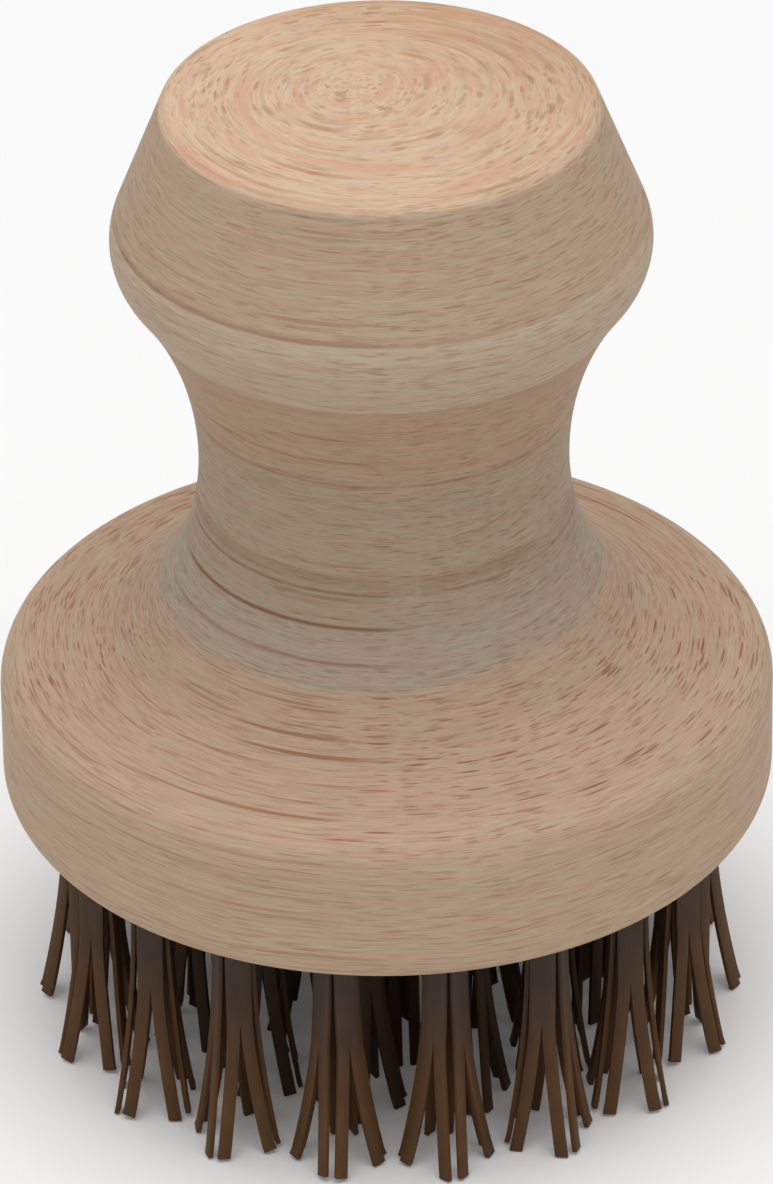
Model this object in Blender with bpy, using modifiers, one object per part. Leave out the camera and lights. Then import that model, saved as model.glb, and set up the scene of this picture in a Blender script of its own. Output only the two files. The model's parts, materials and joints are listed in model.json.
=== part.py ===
# Palm-held grill brush: a turned beech handle with tufts of stiff flat fibre strips.
# Metres, +Z up. The brush stands on its bristle tips, and the origin is the middle of
# the circle that the tips stand in. The front of the brush faces -Y.

import math

import bmesh
import bpy
from mathutils import Matrix, Vector

# Driving dimensions of the turned handle, from its underside upwards

flange_diameter = 0.0850        # the broad round base, its widest part
flange_thickness = 0.0192       # from the underside to the top of the base
flange_foot_radius = 0.0044     # rounding of the base's lower edge
flange_shoulder_radius = 0.0052 # rounding of the base's upper edge
cove_rise = 0.0230              # from the top of the base up to the waist
neck_diameter = 0.0403          # the waist that the fingers close round
knob_rise = 0.0270              # from the waist up to the widest circle of the knob
knob_diameter = 0.0584          # the widest circle of the knob
knob_round_radius = 0.0072      # rounding of the knob's widest circle
crown_rise = 0.0163             # from the knob's widest circle to the flat top
crown_diameter = 0.0474         # across the flat top, over its rounded rim
crown_edge_radius = 0.0012      # rounding of that rim
hole_depth = 0.0120             # the blind holes that hold the tufts

# Driving dimensions of a tuft: four flat facets, each a strip that forks into two

bristle_length = 0.0277         # from the underside of the handle to the cut tips
strip_width = 0.00142           # one prong of a fork
strip_thickness = 0.00055
corner_gap = 0.00010            # between the facets at the tuft's corners
fork_drop = 0.0116              # from the underside down to where a facet forks
splay_out = 0.0022              # how far a tip leans out where its neighbours leave room
splay_side = 0.0019             # how far it then moves sideways from the fork
root_inset = 0.0006             # the strips part this far inside the hole's mouth
fit_gap = 0.0003                # clearance round whatever sits in the wood

# The flat wire anchor that a tuft is folded over

anchor_thickness = 0.0004
anchor_height = 0.0016
anchor_bite = 0.0007            # how far each end of the anchor enters the wood
fold_height = 0.0021            # the folded strips between the anchor and the root's end

# Rings of tufts: six more tufts in each ring than in the one inside it

rim_margin = 0.0041             # from the flat underside's edge in to the outer ring
tuft_gap = 0.0004               # least gap between the tips of two tufts
hole_wall = 0.0015              # least wood between two holes
tufts_per_step = 6
ring_names = ("outer", "middle", "inner")
ring_turns = (10, 21, 6)        # degrees that each ring is turned by, from the rim inwards

# Fineness of the faceted surfaces, and how the strips curve

turning_steps = 64
rim_steps = 3
bulge_steps = 7
hollow_steps = 6
cove_steps = 8
shoulder_steps = 5
foot_steps = 4
hole_steps = 12
prong_steps = 2
splay_power = 2.0
fork_power = 1.35
merge_distance = 0.00001

# Heights and radii that follow from the driving dimensions

underside = bristle_length
flange_top = underside + flange_thickness
waist = flange_top + cove_rise
knob_middle = waist + knob_rise
handle_top = knob_middle + crown_rise
tuft_half_width = strip_width + corner_gap + strip_thickness
root_radius = math.hypot(strip_width, tuft_half_width)
hole_radius = (root_radius + fit_gap) / math.cos(math.pi / hole_steps)
root_top = underside + hole_depth - fit_gap
root_bottom = underside + root_inset
anchor_middle = root_top - fold_height - fit_gap - anchor_height / 2
anchor_length = 2 * (hole_radius + anchor_bite)
least_pitch = 2 * hole_radius + hole_wall
outer_ring_radius = flange_diameter / 2 - flange_foot_radius - rim_margin
ring_count = min(int(outer_ring_radius / least_pitch), len(ring_names))
ring_pitch = outer_ring_radius / ring_count

# Tufts that stand close together keep each other from leaning out all the way

lean_room = (ring_pitch - tuft_gap) / 2 - root_radius
lean_share = min(1, lean_room / math.hypot(splay_out, splay_side))
tip_lean_out = splay_out * lean_share
tip_lean_side = splay_side * lean_share


# Scene and materials

def empty_the_scene():
    for old in list(bpy.data.objects):
        bpy.data.objects.remove(old, do_unlink=True)


def new_collection(name):
    collection = bpy.data.collections.new(name)
    bpy.context.scene.collection.children.link(collection)
    return collection


def principled(name, colour, roughness, metallic=0.0):
    material = bpy.data.materials.new(name)
    material.use_nodes = True
    shader = material.node_tree.nodes["Principled BSDF"]
    shader.inputs["Base Color"].default_value = (*colour, 1.0)
    shader.inputs["Roughness"].default_value = roughness
    shader.inputs["Metallic"].default_value = metallic
    return material


def add_object(name, mesh, collection, material=None):
    thing = bpy.data.objects.new(name, mesh)
    collection.objects.link(thing)
    if material is not None and not mesh.materials:
        mesh.materials.append(material)
    return thing


def add_cutter(name, mesh, collection):
    cutter = add_object(name, mesh, collection)
    cutter.hide_render = True
    cutter.display_type = "WIRE"
    return cutter


def cut(thing, cutter):
    boolean = thing.modifiers.new(cutter.name, "BOOLEAN")
    boolean.operation = "DIFFERENCE"
    boolean.solver = "EXACT"
    boolean.object = cutter


# Outline of the handle: arcs and one cove, from the top down its outer side

def arc(centre_x, centre_z, radius_x, radius_z, start, end, steps):
    points = []
    for step in range(steps + 1):
        angle = start + (end - start) * step / steps
        x = centre_x + radius_x * math.cos(angle)
        z = centre_z + radius_z * math.sin(angle)
        points.append((x, z))
    return points


def handle_outline():
    half_turn = math.pi
    quarter_turn = math.pi / 2

    rim_x = crown_diameter / 2 - crown_edge_radius
    rim_z = handle_top - crown_edge_radius
    bulge_x = knob_diameter / 2 - knob_round_radius
    bulge_z = knob_middle

    # The cone from the bulge to the rim touches both of their circles
    reach = math.hypot(rim_x - bulge_x, rim_z - bulge_z)
    line_angle = math.atan2(rim_z - bulge_z, rim_x - bulge_x)
    cone_angle = line_angle - math.acos((knob_round_radius - crown_edge_radius) / reach)

    # The hollow above the waist is the circle that touches the waist and the bulge
    neck_x = neck_diameter / 2
    offset = neck_x - bulge_x
    hollow_radius = (offset ** 2 + knob_rise ** 2 - knob_round_radius ** 2)
    hollow_radius /= 2 * (knob_round_radius - offset)
    hollow_x = neck_x + hollow_radius
    hollow_angle = math.atan2(knob_rise, hollow_x - bulge_x)

    shoulder_x = flange_diameter / 2 - flange_shoulder_radius
    shoulder_z = flange_top - flange_shoulder_radius
    foot_x = flange_diameter / 2 - flange_foot_radius
    foot_z = underside + flange_foot_radius

    rim = arc(rim_x, rim_z, crown_edge_radius, crown_edge_radius,
              quarter_turn, cone_angle, rim_steps)
    bulge = arc(bulge_x, bulge_z, knob_round_radius, knob_round_radius,
                cone_angle, -hollow_angle, bulge_steps)
    hollow = arc(hollow_x, waist, hollow_radius, hollow_radius,
                 half_turn - hollow_angle, half_turn, hollow_steps)
    cove = arc(shoulder_x, waist, shoulder_x - neck_x, cove_rise,
               half_turn, half_turn + quarter_turn, cove_steps)
    shoulder = arc(shoulder_x, shoulder_z, flange_shoulder_radius, flange_shoulder_radius,
                   quarter_turn, 0, shoulder_steps)
    foot = arc(foot_x, foot_z, flange_foot_radius, flange_foot_radius,
               0, -quarter_turn, foot_steps)

    # Each run starts where the one before it ended, so that shared point is left out
    outline = [(0, handle_top)] + rim + bulge + hollow[1:] + cove[1:] + shoulder[1:]
    outline += foot + [(0, underside)]
    return outline


def turned_mesh(name, outline):
    mesh = bpy.data.meshes.new(name)
    points = [(x, 0, z) for x, z in outline]
    edges = [(index, index + 1) for index in range(len(points) - 1)]
    mesh.from_pydata(points, edges, [])
    return mesh


def make_handle(collection, material):
    handle = add_object("handle", turned_mesh("handle", handle_outline()),
                        collection, material)
    screw = handle.modifiers.new("turned on the lathe", "SCREW")
    screw.axis = "Z"
    screw.steps = turning_steps
    screw.render_steps = turning_steps
    screw.use_merge_vertices = True
    screw.merge_threshold = merge_distance
    screw.use_smooth_shade = True
    return handle


# Places of the tufts

def ring_places(rings_in):
    # rings_in is 0 for the outer ring, 1 for the ring inside it, and so on
    step = ring_count - rings_in
    count = tufts_per_step * step
    places = []
    for index in range(count):
        angle = math.radians(ring_turns[rings_in]) + 2 * math.pi * index / count
        name = f"{ring_names[rings_in]}_{index + 1:02d}"
        places.append((name, ring_pitch * step, angle))
    return places


def tuft_matrix(radius, angle):
    # A tuft's +X corner points away from the handle's axis
    out = Vector((math.sin(angle), -math.cos(angle), 0))
    heading = math.atan2(out.y, out.x)
    return Matrix.Translation(out * radius) @ Matrix.Rotation(heading, 4, "Z")


# A tuft: an eight-sided root in the hole, and four facets that fork below the wood

def facet_turns():
    return [math.radians(45 + 90 * side) for side in range(4)]


def turned_point(along, outwards, height, turn):
    x = outwards * math.cos(turn) - along * math.sin(turn)
    y = outwards * math.sin(turn) + along * math.cos(turn)
    return (x, y, height)


def section(bm, left, right, outer, height, turn):
    inner = outer - strip_thickness
    corners = [(left, outer), (right, outer), (right, inner), (left, inner)]
    return [bm.verts.new(turned_point(along, outwards, height, turn))
            for along, outwards in corners]


def add_walls(bm, upper, lower):
    count = len(upper)
    for index in range(count):
        after = (index + 1) % count
        bm.faces.new((upper[index], upper[after], lower[after], lower[index]))


def prong(bm, side, fork, turn):
    # side is -1 or 1; fork holds the four corners where this prong starts
    upper = fork
    fork_share = fork_drop / bristle_length
    for step in range(1, prong_steps + 1):
        share = fork_share + (1 - fork_share) * step / prong_steps
        past_fork_share = step / prong_steps
        shift = side * tip_lean_side * past_fork_share ** fork_power
        middle = side * strip_width / 2 + shift
        outer = tuft_half_width + tip_lean_out * share ** splay_power
        height = underside - bristle_length * share
        left = middle - strip_width / 2
        right = middle + strip_width / 2
        lower = section(bm, left, right, outer, height, turn)
        add_walls(bm, upper, lower)
        upper = lower
    bm.faces.new(upper)


def facet(bm, turn):
    # Returns the four corners where the facet leaves the root's lower face
    top = section(bm, -strip_width, strip_width, tuft_half_width, root_bottom, turn)
    fork_share = fork_drop / bristle_length
    outer = tuft_half_width + tip_lean_out * fork_share ** splay_power
    height = underside - fork_drop
    left = section(bm, -strip_width, 0, outer, height, turn)
    right_outer = bm.verts.new(turned_point(strip_width, outer, height, turn))
    inner = outer - strip_thickness
    right_inner = bm.verts.new(turned_point(strip_width, inner, height, turn))
    left_outer, middle_outer, middle_inner, left_inner = left
    right = [middle_outer, right_outer, right_inner, middle_inner]
    top_left, top_right, low_right, low_left = top
    bm.faces.new((top_left, top_right, right_outer, middle_outer, left_outer))
    bm.faces.new((low_right, low_left, left_inner, middle_inner, right_inner))
    bm.faces.new((top_right, low_right, right_inner, right_outer))
    bm.faces.new((low_left, top_left, left_outer, left_inner))
    prong(bm, -1, left, turn)
    prong(bm, 1, right, turn)
    return top


def tuft_mesh(name):
    bm = bmesh.new()
    rim = []
    ledge = []
    for turn in facet_turns():
        left_outer, right_outer, right_inner, left_inner = facet(bm, turn)
        rim += [left_outer, right_outer]
        ledge += [left_outer, left_inner, right_inner, right_outer]
    cap = [bm.verts.new((vert.co.x, vert.co.y, root_top)) for vert in rim]
    add_walls(bm, cap, rim)
    bm.faces.new(cap)
    bm.faces.new(ledge)
    bmesh.ops.recalc_face_normals(bm, faces=bm.faces)
    mesh = bpy.data.meshes.new(name)
    bm.to_mesh(mesh)
    bm.free()
    return mesh


def box_mesh(name, length, width, height, matrices):
    bm = bmesh.new()
    for matrix in matrices:
        scale = Matrix.Diagonal((length, width, height, 1))
        bmesh.ops.create_cube(bm, size=1, matrix=matrix @ scale)
    mesh = bpy.data.meshes.new(name)
    bm.to_mesh(mesh)
    bm.free()
    return mesh


def anchor_matrix():
    # Across the root, square to two opposite facets
    height = Matrix.Translation((0, 0, anchor_middle))
    return height @ Matrix.Rotation(facet_turns()[0], 4, "Z")


def pierced_mesh(name, whole, tunnel, collection):
    # The tuft's mesh with the anchor's tunnel cut through its root
    blank = add_object(name, whole, collection)
    cut(blank, tunnel)
    evaluated = blank.evaluated_get(bpy.context.evaluated_depsgraph_get())
    mesh = bpy.data.meshes.new_from_object(evaluated)
    bpy.data.objects.remove(blank, do_unlink=True)
    mesh.name = name
    return mesh


def holes_mesh(name, places):
    bm = bmesh.new()
    overrun = fit_gap
    depth = hole_depth + overrun
    for _, radius, angle in places:
        middle = Matrix.Translation((0, 0, underside + (hole_depth - overrun) / 2))
        bmesh.ops.create_cone(bm, cap_ends=True, segments=hole_steps,
                              radius1=hole_radius, radius2=hole_radius, depth=depth,
                              matrix=tuft_matrix(radius, angle) @ middle)
    mesh = bpy.data.meshes.new(name)
    bm.to_mesh(mesh)
    bm.free()
    return mesh


def main():
    empty_the_scene()
    parts = new_collection("grill_brush")
    cutters = new_collection("cutters")
    beech = principled("turned beech", (0.50, 0.33, 0.20), 0.55)
    fibre = principled("dark fibre strip", (0.060, 0.036, 0.020), 0.60)
    steel = principled("galvanised wire", (0.55, 0.55, 0.54), 0.35, 1.0)

    outer_ring = ring_places(0)
    plain_places = [("centre", 0, 0)]
    for rings_in in range(1, ring_count):
        plain_places += ring_places(rings_in)
    every_place = outer_ring + plain_places

    # The anchors, and the slots that they need in the wood and in the outer roots
    slot_sizes = [size + 2 * fit_gap
                  for size in (anchor_length, anchor_thickness, anchor_height)]
    anchor_places = [tuft_matrix(radius, angle) @ anchor_matrix()
                     for _, radius, angle in outer_ring]
    slots = add_cutter("anchor_slots", box_mesh("anchor_slots", *slot_sizes, anchor_places),
                       cutters)
    tunnel = add_cutter("anchor_tunnel", box_mesh("anchor_tunnel", *slot_sizes,
                                                  [anchor_matrix()]), cutters)
    holes = add_cutter("tuft_holes", holes_mesh("tuft_holes", every_place), cutters)

    handle = make_handle(parts, beech)
    cut(handle, holes)
    cut(handle, slots)

    plain_tuft = tuft_mesh("tuft")
    pierced_tuft = pierced_mesh("tuft_with_tunnel", tuft_mesh("tuft_blank"), tunnel, cutters)
    for name, radius, angle in plain_places:
        tuft = add_object(f"tuft_{name}", plain_tuft, parts, fibre)
        tuft.matrix_world = tuft_matrix(radius, angle)
    for name, radius, angle in outer_ring:
        tuft = add_object(f"tuft_{name}", pierced_tuft, parts, fibre)
        tuft.matrix_world = tuft_matrix(radius, angle)

    anchor = box_mesh("anchor", anchor_length, anchor_thickness, anchor_height,
                      [anchor_matrix()])
    for name, radius, angle in outer_ring:
        wire = add_object(f"anchor_{name}", anchor, parts, steel)
        wire.matrix_world = tuft_matrix(radius, angle)


main()
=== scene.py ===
# %% [markdown]
# # A grill brush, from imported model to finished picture
# The brush is three kinds of thing: one block of beech turned on a lathe, 37 tufts of
# stiff dark fibre strips, and the flat wire anchors that hold the tufts in their holes.
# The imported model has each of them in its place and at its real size, so it is loaded
# first and never moved. Everything below is finish: a smoother handle turned from the
# same outline, fuller tufts, a material of nodes for each surface, and light.

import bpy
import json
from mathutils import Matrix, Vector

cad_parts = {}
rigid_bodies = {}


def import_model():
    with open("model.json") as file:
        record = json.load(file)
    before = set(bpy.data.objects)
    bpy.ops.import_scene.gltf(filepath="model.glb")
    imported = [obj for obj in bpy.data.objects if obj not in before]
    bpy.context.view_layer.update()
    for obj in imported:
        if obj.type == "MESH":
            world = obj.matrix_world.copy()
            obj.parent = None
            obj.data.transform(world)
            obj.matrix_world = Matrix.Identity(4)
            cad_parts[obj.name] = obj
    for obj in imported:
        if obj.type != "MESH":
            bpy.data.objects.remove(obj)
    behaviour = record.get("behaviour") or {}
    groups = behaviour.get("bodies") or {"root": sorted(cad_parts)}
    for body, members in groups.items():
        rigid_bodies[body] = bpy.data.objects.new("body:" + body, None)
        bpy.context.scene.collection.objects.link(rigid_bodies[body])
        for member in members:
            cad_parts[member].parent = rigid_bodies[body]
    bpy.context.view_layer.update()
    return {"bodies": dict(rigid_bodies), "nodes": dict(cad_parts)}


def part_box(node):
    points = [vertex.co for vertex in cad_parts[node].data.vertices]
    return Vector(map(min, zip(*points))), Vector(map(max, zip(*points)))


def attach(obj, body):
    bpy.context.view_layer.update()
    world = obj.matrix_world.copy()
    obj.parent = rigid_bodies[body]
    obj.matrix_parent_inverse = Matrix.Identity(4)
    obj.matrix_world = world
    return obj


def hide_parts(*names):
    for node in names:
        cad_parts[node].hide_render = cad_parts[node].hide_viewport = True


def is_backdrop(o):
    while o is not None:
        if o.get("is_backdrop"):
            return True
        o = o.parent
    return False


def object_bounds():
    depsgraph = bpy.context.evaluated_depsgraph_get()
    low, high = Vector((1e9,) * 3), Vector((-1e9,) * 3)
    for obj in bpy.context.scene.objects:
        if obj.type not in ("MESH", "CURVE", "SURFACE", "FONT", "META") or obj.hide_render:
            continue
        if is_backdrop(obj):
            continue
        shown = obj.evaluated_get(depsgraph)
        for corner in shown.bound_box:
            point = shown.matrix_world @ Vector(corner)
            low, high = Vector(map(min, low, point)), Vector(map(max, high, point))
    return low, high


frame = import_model()
MM = 1000                        # millimetres in a metre
print("nodes in the frame:", len(frame["nodes"]))

# %% Modules for meshes and numbers
import json
import math
import random

import bmesh
import bpy
from mathutils import Matrix, Quaternion, Vector

BODY = "root" if "root" in frame["bodies"] else list(frame["bodies"])[0]
print("every piece rides on:", BODY)

# %% [markdown]
# ## The camera
# The brush stands on its bristles and is seen from in front and about 31 degrees above,
# from over a metre away through a long lens, which keeps its circles close to true
# ellipses. Blender gives a camera's sensor size to the longer side of the picture. The
# focal length is therefore the long lens's reach in pixels, times the sensor, over the
# picture's height. The camera leans less than a degree, as if held by hand.

# %% Place the camera
picture_height = 1184            # pixels
lens_reach = 10021               # focal length in pixels of that height
sensor = 36.0                    # mm, Blender's own default
camera_distance = 1.098
camera_elevation = math.radians(31.38)
camera_roll = math.radians(-0.71)
aim_height = 0.0520              # the lens's axis crosses the brush's axis here
sideways_shift = 0.0007          # of the picture's height

camera = bpy.data.objects.new("camera", bpy.data.cameras.new("camera"))
bpy.context.scene.collection.objects.link(camera)
bpy.context.scene.camera = camera
camera.data.sensor_width = sensor
camera.data.lens = lens_reach * sensor / picture_height
camera.data.shift_x = sideways_shift
towards_camera = Vector((0, -math.cos(camera_elevation), math.sin(camera_elevation)))
camera.location = Vector((0, 0, aim_height)) + towards_camera * camera_distance
level = (-towards_camera).to_track_quat("-Z", "Y")
camera.rotation_mode = "QUATERNION"
camera.rotation_quaternion = level @ Quaternion((0, 0, 1), camera_roll)
print("lens, mm:", round(camera.data.lens, 1))

# %% [markdown]
# ## Short ways to add nodes
# A material here is a small drawing of nodes. Blender's calls for that are long, so four
# helpers keep the materials readable: one adds any node and fills its sockets, and the
# others stand for sums, smooth thresholds and colour mixes. A socket takes a number, a
# colour or another node's output, and `plug_in` knows which is which.

# %% Nodes and sockets
def plug_in(tree, socket, value):
    if isinstance(value, bpy.types.NodeSocket):
        tree.links.new(value, socket)
    else:
        socket.default_value = value


def add_node(tree, kind, settings=None, **sockets):
    """A node with its settings, and its sockets by name, with _ for a space."""
    made = tree.nodes.new(kind)
    for setting, value in (settings or {}).items():
        setattr(made, setting, value)
    for name, value in sockets.items():
        plug_in(tree, made.inputs[name.replace("_", " ")], value)
    return made


def sums(tree, operation, *values):
    made = tree.nodes.new("ShaderNodeMath")
    made.operation = operation
    for socket, value in zip(made.inputs, values):
        plug_in(tree, socket, value)
    return made.outputs[0]


def vector_sums(tree, operation, first, second=None, scale=None):
    made = tree.nodes.new("ShaderNodeVectorMath")
    made.operation = operation
    plug_in(tree, made.inputs[0], first)
    if second is not None:
        plug_in(tree, made.inputs[1], second)
    if scale is not None:
        plug_in(tree, made.inputs["Scale"], scale)
    number = operation in ("LENGTH", "DOT_PRODUCT")
    return made.outputs["Value" if number else "Vector"]


helpers = (plug_in, add_node, sums, vector_sums)
print("helpers for nodes:", ", ".join(helper.__name__ for helper in helpers))

# %% Thresholds, mixes and colours
def rise(tree, value, low, high):
    """0 up to low, 1 from high on, and a smooth step between. Low may be the larger."""
    made = add_node(tree, "ShaderNodeMapRange", {"interpolation_type": "SMOOTHSTEP"},
                    Value=value, From_Min=low, From_Max=high)
    return made.outputs["Result"]


def mix(tree, share, first, second, blend="MIX"):
    made = tree.nodes.new("ShaderNodeMix")
    made.data_type = "RGBA"
    made.blend_type = blend
    plug_in(tree, made.inputs["Factor"], share)
    for socket, value in zip([s for s in made.inputs if s.type == "RGBA"], (first, second)):
        plug_in(tree, socket, value)
    return [s for s in made.outputs if s.type == "RGBA"][0]


def colour(red, green, blue):
    """A paint chart's colour, 0 to 255, in the linear values that shaders use."""
    shares = [value / 255 for value in (red, green, blue)]
    return (*[share / 12.92 if share <= 0.04045 else ((share + 0.055) / 1.055) ** 2.4
              for share in shares], 1.0)


def new_material(name):
    material = bpy.data.materials.new(name)
    material.use_nodes = True
    tree = material.node_tree
    return material, tree, tree.nodes["Principled BSDF"]


print("mid grey in linear light:", round(colour(128, 128, 128)[0], 3))

# %% [markdown]
# ## A studio for one small object
# The brush is lit as on a product table: an even pale sky all round, which fills the
# hollow neck, and one wide lamp overhead, which makes the level faces brighter than the
# upright ones. The level is plain, so that a colour renders about as it is written. The
# background is the floor's own white, and the floor keeps the brush's soft shadow. Only
# what the camera sees directly, or in a reflection, is white sky.

# %% Sky
def seen_directly(tree):
    """1 for what the camera sees, also in a reflection, and 0 for light on its way."""
    paths = add_node(tree, "ShaderNodeLightPath").outputs
    seen = sums(tree, "MAXIMUM", paths["Is Camera Ray"], paths["Is Glossy Ray"])
    return sums(tree, "MAXIMUM", seen, paths["Is Transmission Ray"])


sky_level = 0.60                 # of full white, as the brush is lit by it
white = (1, 1, 1, 1)
bpy.context.scene.view_settings.view_transform = "Standard"
world = bpy.data.worlds.new("studio sky")
bpy.context.scene.world = world
world.use_nodes = True
sky = world.node_tree
grey = (sky_level, sky_level, sky_level, 1)
sky.nodes["Background"].inputs["Strength"].default_value = 1.0
plug_in(sky, sky.nodes["Background"].inputs["Color"],
        mix(sky, seen_directly(sky), grey, white))
print("sky level on the brush:", sky_level)

# %% Lamp
lamp_side = 1.1                  # m
lamp_height = 1.2                # m above the floor
lamp_forward = 0.20              # m from the brush's axis towards the camera
lamp_power = 8.6                 # watts
lamp = bpy.data.objects.new("overhead lamp", bpy.data.lights.new("overhead lamp", "AREA"))
bpy.context.scene.collection.objects.link(lamp)
lamp.data.shape = "SQUARE"
lamp.data.size = lamp_side
lamp.data.energy = lamp_power
lamp.location = (0, -lamp_forward, lamp_height)
lamp.rotation_mode = "QUATERNION"
lamp.rotation_quaternion = (-Vector(lamp.location)).to_track_quat("-Z", "Y")
lamp.visible_camera = False
print("lamp tilt, degrees:", round(math.degrees(math.atan(lamp_forward / lamp_height)), 1))

# %% Floor
floor_reach = 4.0                # m from the brush to each edge
floor_white = colour(243, 243, 243)
floor_lift = 0.05                # a glow for the camera alone, so the floor meets the sky
mesh = bpy.data.meshes.new("floor")
bm = bmesh.new()
bmesh.ops.create_grid(bm, x_segments=8, y_segments=8, size=floor_reach)
bm.to_mesh(mesh)
bm.free()
floor = bpy.data.objects.new("floor", mesh)
bpy.context.scene.collection.objects.link(floor)
floor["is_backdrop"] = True
material, tree, shader = new_material("white floor")
shader.inputs["Base Color"].default_value = floor_white
shader.inputs["Roughness"].default_value = 1.0
shader.inputs["Specular IOR Level"].default_value = 0.0
shader.inputs["Emission Color"].default_value = white
plug_in(tree, shader.inputs["Emission Strength"],
        sums(tree, "MULTIPLY", seen_directly(tree), floor_lift))
mesh.materials.append(material)
print("floor, m across:", 2 * floor_reach)

# %% [markdown]
# ## Beech, cut round the axis
# The wood is pale beech with its grain running round the handle in fine level lines, in
# bands of slightly different colour, with the short red-brown flecks that beech is known
# by. Flat or box-shaped texture coordinates would smear on a turned piece. Here each
# point is described as a lathe would: its direction round the axis, its distance from
# the axis and its height. The direction goes in as its cosine and sine, so the pattern
# closes on itself with no seam at the back. Distance and height together change across
# the grain, whether the surface stands upright, slopes or lies flat. On the flat top the
# tree's own rings show, and they aren't centred on the lathe's axis. So the grain's
# middle is shifted a little there, and the grain is coarser round it.

# %% Lathe coordinates
reference_radius = 30            # mm, where a streak has its written length
wander = 0.9                     # mm that a grain line strays up or down
wander_scale = 0.035             # wanderings in a mm
swirl_shift = (-3.0, 3.0, 0.0)   # mm from the axis to the middle of the grain on top
swirl_full = 4                   # mm from the axis to where the shift begins to fade
swirl_reach = 21                 # mm from the axis to where the grain is true again
swirl_breadth = 0.55             # share of the grain's fineness that is lost on top
swirl_stretch = 0.55             # share of its changes along the grain that is lost there
swirl_fade = 8                   # mm in from the reach to where that share is lost


def level_distance(tree, place):
    """The part of a place that is level, and its distance from the axis."""
    x, y, _ = add_node(tree, "ShaderNodeSeparateXYZ", Vector=place).outputs
    level = add_node(tree, "ShaderNodeCombineXYZ", X=x, Y=y).outputs["Vector"]
    return level, vector_sums(tree, "LENGTH", level)


def lathe_coordinates(tree):
    """Direction round the axis, and distance from it and height in mm, a little wavy."""
    place = add_node(tree, "ShaderNodeTexCoord").outputs["Object"]
    place = vector_sums(tree, "SCALE", place, scale=MM)
    height = add_node(tree, "ShaderNodeSeparateXYZ", Vector=place).outputs["Z"]
    _, true_radius = level_distance(tree, place)
    shift_share = rise(tree, true_radius, swirl_reach, swirl_full)
    shift = vector_sums(tree, "SCALE", swirl_shift, scale=shift_share)
    place = vector_sums(tree, "SUBTRACT", place, shift)
    level, radius = level_distance(tree, place)

    # Inside the swirl's reach the grain is broader and changes less along its length
    inside = sums(tree, "MAXIMUM", sums(tree, "SUBTRACT", swirl_reach, radius), 0.0)
    radius = sums(tree, "MULTIPLY_ADD", inside, swirl_breadth, radius)
    lost = rise(tree, inside, 0, swirl_fade)
    stretch = sums(tree, "MULTIPLY_ADD", lost, -swirl_stretch, 1.0)
    direction = vector_sums(tree, "NORMALIZE", level)

    wave = add_node(tree, "ShaderNodeTexNoise", Vector=place, Scale=wander_scale,
                    Detail=1.0)
    sway = sums(tree, "MULTIPLY_ADD", wave.outputs["Fac"], 2 * wander, -wander)
    return {"place": level, "direction": direction,
            "round": vector_sums(tree, "SCALE", direction, scale=stretch),
            "radius": sums(tree, "ADD", radius, sway),
            "height": sums(tree, "ADD", height, sway),
            "true height": height}


print("a grain line strays, mm:", wander)

# %% Streaks and dashes along the grain
streak_roughness = 0.55
dash_core = 0.65                 # share of a dash's size that has its full strength
dash_chances = (0.15, 0.95)      # a cell's lot, from no dash at all to the strongest


def grain_place(tree, lathe, length, thickness, seed):
    """Four-dimensional coordinates in which one step is length mm along the grain."""
    along = vector_sums(tree, "SCALE", lathe["round"], scale=reference_radius / length)
    across = sums(tree, "DIVIDE", lathe["height"], thickness)
    up = add_node(tree, "ShaderNodeCombineXYZ", Z=across).outputs["Vector"]
    outwards = sums(tree, "MULTIPLY_ADD", lathe["radius"], 1 / thickness, seed)
    return vector_sums(tree, "ADD", along, up), outwards


def streaks(tree, lathe, length, thickness, detail, seed):
    """Soft streaks that run round the axis, from 0 to 1 and mostly near a half."""
    place, outwards = grain_place(tree, lathe, length, thickness, seed)
    noise = add_node(tree, "ShaderNodeTexNoise", {"noise_dimensions": "4D"},
                     Vector=place, W=outwards, Scale=1.0, Detail=detail,
                     Roughness=streak_roughness)
    return noise.outputs["Fac"]


def dashes(tree, lathe, length, thickness, size, seed):
    """Separate spindle-shaped marks of unequal strength, and 0 between the marks."""
    place, outwards = grain_place(tree, lathe, length, thickness, seed)
    cells = add_node(tree, "ShaderNodeTexVoronoi", {"voronoi_dimensions": "4D"},
                     Vector=place, W=outwards, Scale=1.0)
    mark = rise(tree, cells.outputs["Distance"], size, size * dash_core)
    lot = add_node(tree, "ShaderNodeSeparateColor", Color=cells.outputs["Color"])
    return sums(tree, "MULTIPLY", mark, rise(tree, lot.outputs["Red"], *dash_chances))


print("a streak 3 mm long turns, degrees:", round(math.degrees(3 / reference_radius), 1))

# %% [markdown]
# Beech shows two faces as one walks round the block. Where the lathe cuts along the
# years' rings there are long thin lines, and elsewhere there are many short flecks. The
# long lines lie in two opposite sectors. The direction round the axis, multiplied by the
# heading of those sectors, is 1 or -1 in the middle of them, so its size is the mask that
# is wanted. Flecks are also much stronger on level faces than on upright ones.

# %% Where the lines are long and where the flecks are strong
sector_heading = math.radians(-38)   # from the front, to the left
sector_edges = (0.80, 0.93)          # cosines of the angles where the long lines end
sector_grain = (12, 3, 1.0, 3.0)     # the sectors' edges are ragged in these streaks
sector_raggedness = 0.15             # of those cosines, to both sides
level_edges = (0.40, 0.85)           # upward parts of a normal, from upright to level


def facing(tree, lathe):
    """The cosine of the angle between a point's direction and the sectors' heading."""
    heading = (math.sin(sector_heading), -math.cos(sector_heading), 0)
    return vector_sums(tree, "DOT_PRODUCT", lathe["direction"], heading)


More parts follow.
